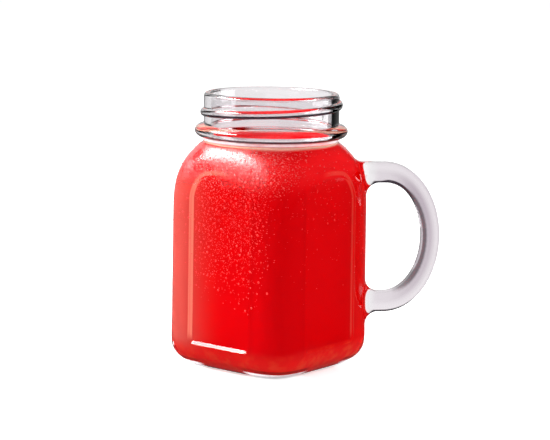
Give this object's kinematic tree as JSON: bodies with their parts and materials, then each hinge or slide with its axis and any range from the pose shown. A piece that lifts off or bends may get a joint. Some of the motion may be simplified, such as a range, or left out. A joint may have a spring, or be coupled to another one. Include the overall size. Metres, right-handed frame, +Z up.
{
  "type": "handled jar mug of cold red drink",
  "caption": "Clear glass square jar mug with a screw neck and a loop handle, filled to the foot of its neck with a bright red drink.",
  "frame": {"origin": "on the axis of the jar's neck, in the plane that the jar stands on", "axes": "+Z up along the neck's axis; +X from the axis to the corner of the body that carries the handle"},
  "size_m": [0.1328, 0.0966, 0.1345],
  "materials": {
    "glass": "clear pressed glass, polished, with fine water drops outside",
    "drink": "opaque bright red liquid with a still, shiny surface"
  },
  "bodies": {
    "root": {"jar": "glass", "drink": "drink"}
  },
  "joints": []
}
